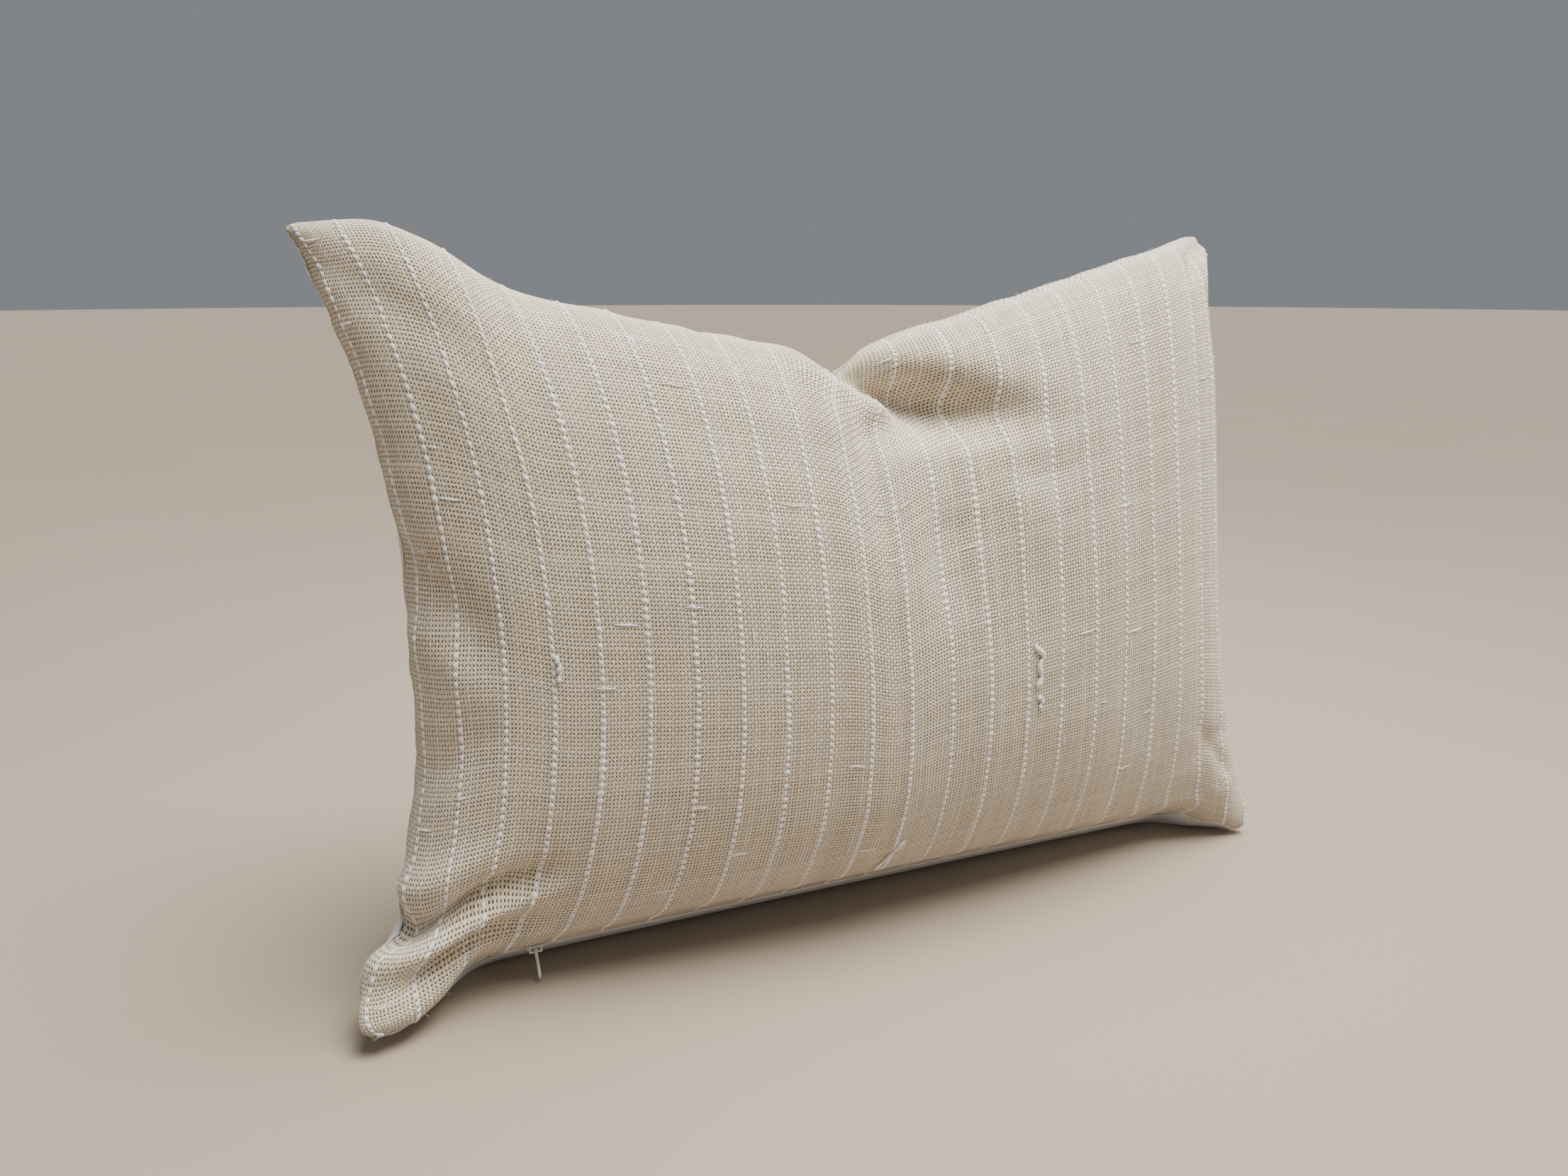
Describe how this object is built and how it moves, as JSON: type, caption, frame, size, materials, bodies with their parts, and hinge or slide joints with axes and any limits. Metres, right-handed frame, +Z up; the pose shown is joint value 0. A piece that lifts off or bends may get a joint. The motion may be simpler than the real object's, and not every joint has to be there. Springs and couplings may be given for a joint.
{
  "type": "throw pillow",
  "caption": "Chopped rectangular throw pillow with a striped woven cover, a zip along the bottom seam, and a separate stuffed insert.",
  "frame": {"origin": "under the middle of the bounding box, on the plane that the pillow stands on", "axes": "+X along the pillow's width, to the right seen from the striped front; -Y is the way the front faces; +Z up"},
  "size_m": [0.5, 0.1402, 0.3445],
  "materials": {
    "striped_weave": "matte",
    "plain_cotton": "matte",
    "thread": "matte",
    "zip_tape": "matte",
    "zip_nylon": "satin",
    "zip_enamel": "satin",
    "insert_cotton": "matte",
    "insert_fibre": "matte"
  },
  "bodies": {
    "pillow": {"front_panel": "striped_weave", "back_panel": "plain_cotton", "cover_seam_thread": "thread", "overlock_thread_front": "thread", "overlock_thread_back": "thread", "zipper_tape_front": "zip_tape", "zipper_tape_back": "zip_tape", "zipper_coil_front": "zip_nylon", "zipper_coil_back": "zip_nylon", "zipper_stitching_front": "thread", "zipper_stitching_back": "thread", "zipper_top_stop_front": "zip_nylon", "zipper_top_stop_back": "zip_nylon", "zipper_bottom_stop": "zip_nylon", "insert_shell_front": "insert_cotton", "insert_shell_back": "insert_cotton", "insert_seam_thread": "thread", "insert_fill": "insert_fibre"},
    "slider": {"zipper_slider": "zip_enamel"},
    "pull": {"zipper_pull": "zip_enamel"}
  },
  "joints": [
    {"name": "zip_slide", "type": "slide", "parent": "pillow", "child": "slider", "axis": [1, 0, 0], "range_m": [0, 0.346]},
    {"name": "pull_swing", "type": "hinge", "parent": "slider", "child": "pull", "pos_m": [-0.1732, -0.02075, 0.0126], "axis": [0, -0.766, 0.6428], "range_deg": [-78, 78]}
  ]
}
